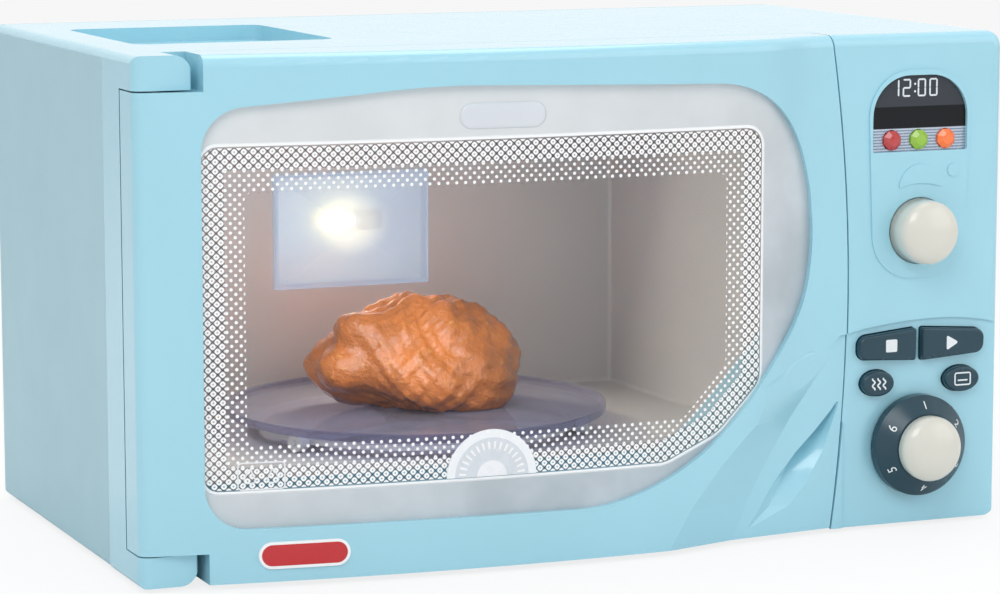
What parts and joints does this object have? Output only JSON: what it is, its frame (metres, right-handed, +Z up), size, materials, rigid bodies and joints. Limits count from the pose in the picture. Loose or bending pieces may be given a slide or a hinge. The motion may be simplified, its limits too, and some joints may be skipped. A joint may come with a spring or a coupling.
{
  "type": "toy microwave",
  "caption": "Toy microwave oven: boxy case, bowed swing-open door with a big clear window, turntable with play food inside, control panel with knobs and push buttons.",
  "frame": {"origin": "Middle of the footprint of the whole toy with the door shut, on the plane its feet stand on.", "axes": "+X to the right seen from the front, along the width; +Y from the front to the back; +Z up."},
  "size_m": [0.33, 0.201, 0.1815],
  "materials": {
    "case_blue": "gloss",
    "case_grey": "satin",
    "liner_grey": "satin",
    "clear_plastic": "gloss",
    "cream_plastic": "gloss",
    "slate_plastic": "gloss",
    "dark_plastic": "gloss",
    "white_plastic": "satin",
    "red_plastic": "gloss",
    "strip_silver": "gloss",
    "jewel_plastic": "gloss",
    "food_brown": "gloss",
    "board_green": "matte",
    "foot_rubber": "matte",
    "steel": "satin",
    "chrome_steel": "polished",
    "bulb_glass": "gloss",
    "nylon": "satin"
  },
  "bodies": {
    "case": {"main_housing": "case_grey", "top_cover": "case_blue", "rear_cover": "case_grey", "case_screws": "steel", "axle_pins": "steel", "feet": "foot_rubber", "front_fascia": "case_blue", "hinge_pins": "steel", "door_catch": "nylon", "oven_liner": "liner_grey", "lamp_window": "clear_plastic", "lamp_reflector": "white_plastic", "lamp_bulb": "bulb_glass", "bulb_holder": "dark_plastic", "gearbox_base": "white_plastic", "gearbox_lid": "white_plastic", "turntable_motor": "steel", "spindle_bush": "white_plastic", "display_lens": "dark_plastic", "led_strip": "strip_silver", "led_jewels": "jewel_plastic", "mech_plate": "white_plastic", "rotary_switch": "dark_plastic", "circuit_board": "board_green", "tact_switches": "dark_plastic", "battery_box": "dark_plastic", "battery_contacts": "steel", "speaker": "dark_plastic"},
    "door": {"door_frame": "case_blue", "window_lens": "clear_plastic", "door_inner_frame": "case_grey", "door_screws": "steel", "latch_hook": "case_grey", "badge_plate": "red_plastic", "window_label": "white_plastic"},
    "drive": {"drive_gear": "nylon", "drive_spindle": "nylon"},
    "idler": {"idler_gear": "nylon"},
    "pinion": {"motor_pinion": "nylon", "motor_shaft": "steel"},
    "plate": {"turntable_plate": "clear_plastic"},
    "food": {"roast_chicken": "food_brown"},
    "ring": {"roller_ring": "white_plastic"},
    "roller_a": {"roller_1": "white_plastic"},
    "roller_b": {"roller_2": "white_plastic"},
    "roller_c": {"roller_3": "white_plastic"},
    "timer": {"timer_knob": "cream_plastic", "timer_shaft": "nylon", "timer_gear": "nylon"},
    "disc": {"display_disc": "dark_plastic"},
    "dial": {"power_dial": "slate_plastic", "dial_cap": "cream_plastic", "dial_shaft": "nylon"},
    "stop": {"stop_button": "slate_plastic"},
    "start": {"start_button": "slate_plastic"},
    "grill": {"grill_button": "slate_plastic"},
    "oven": {"oven_button": "slate_plastic"},
    "battery_lid": {"battery_door": "case_grey", "battery_door_screw": "steel"}
  },
  "joints": [
    {"name": "door_hinge", "type": "hinge", "parent": "case", "child": "door", "pos_m": [-0.1555, -0.0745, 0.09], "axis": [0, 0, -1], "range_deg": [0, 110]},
    {"name": "turntable_spin", "type": "hinge", "parent": "case", "child": "drive", "pos_m": [-0.0305, 0.00875, 0.03], "axis": [0, 0, 1], "continuous": true},
    {"name": "idler_spin", "type": "hinge", "parent": "case", "child": "idler", "pos_m": [-0.0005, 0.00875, 0.015], "axis": [0, 0, 1], "continuous": true},
    {"name": "pinion_spin", "type": "hinge", "parent": "case", "child": "pinion", "pos_m": [0.0235, 0.00875, 0.0125], "axis": [0, 0, 1], "continuous": true},
    {"name": "plate_lift", "type": "slide", "parent": "drive", "child": "plate", "axis": [0, 0, 1], "range_m": [0, 0.02]},
    {"name": "food_lift", "type": "slide", "parent": "plate", "child": "food", "axis": [0, 0, 1], "range_m": [0, 0.04]},
    {"name": "ring_spin", "type": "hinge", "parent": "case", "child": "ring", "pos_m": [-0.0305, 0.00875, 0.035], "axis": [0, 0, 1], "continuous": true},
    {"name": "roller_a_spin", "type": "hinge", "parent": "ring", "child": "roller_a", "pos_m": [-0.08681, -0.01994, 0.03605], "axis": [-0.891, -0.454, 0], "continuous": true},
    {"name": "roller_b_spin", "type": "hinge", "parent": "ring", "child": "roller_b", "pos_m": [0.0225, -0.02567, 0.03605], "axis": [0.8387, -0.5446, 0], "continuous": true},
    {"name": "roller_c_spin", "type": "hinge", "parent": "ring", "child": "roller_c", "pos_m": [-0.02719, 0.07186, 0.03605], "axis": [0.0523, 0.9986, 0], "continuous": true},
    {"name": "timer_turn", "type": "hinge", "parent": "case", "child": "timer", "pos_m": [0.1305, -0.09, 0.1097], "axis": [0, -1, 0], "continuous": true},
    {"name": "disc_turn", "type": "hinge", "parent": "case", "child": "disc", "pos_m": [0.1305, -0.075, 0.1392], "axis": [0, -1, 0], "continuous": true},
    {"name": "dial_turn", "type": "hinge", "parent": "case", "child": "dial", "pos_m": [0.1305, -0.09, 0.03089], "axis": [0, -1, 0], "continuous": true},
    {"name": "stop_press", "type": "slide", "parent": "case", "child": "stop", "axis": [0, 1, 0], "range_m": [0, 0.0015], "stiffness_N_per_m": 400, "springref_m": -0.001},
    {"name": "start_press", "type": "slide", "parent": "case", "child": "start", "axis": [0, 1, 0], "range_m": [0, 0.0015], "stiffness_N_per_m": 400, "springref_m": -0.001},
    {"name": "grill_press", "type": "slide", "parent": "case", "child": "grill", "axis": [0, 1, 0], "range_m": [0, 0.0015], "stiffness_N_per_m": 400, "springref_m": -0.001},
    {"name": "oven_press", "type": "slide", "parent": "case", "child": "oven", "axis": [0, 1, 0], "range_m": [0, 0.0015], "stiffness_N_per_m": 400, "springref_m": -0.001},
    {"name": "battery_lid_out", "type": "slide", "parent": "case", "child": "battery_lid", "axis": [0, 1, 0], "range_m": [0, 0.03]}
  ],
  "couplings": [
    {"joint": "idler_spin", "follows": "turntable_spin", "ratio": -4},
    {"joint": "pinion_spin", "follows": "turntable_spin", "ratio": 12},
    {"joint": "ring_spin", "follows": "turntable_spin", "ratio": 0.5},
    {"joint": "roller_a_spin", "follows": "turntable_spin", "ratio": -9.2941},
    {"joint": "roller_b_spin", "follows": "turntable_spin", "ratio": -9.2941},
    {"joint": "roller_c_spin", "follows": "turntable_spin", "ratio": -9.2941},
    {"joint": "disc_turn", "follows": "timer_turn", "ratio": -0.43902}
  ]
}
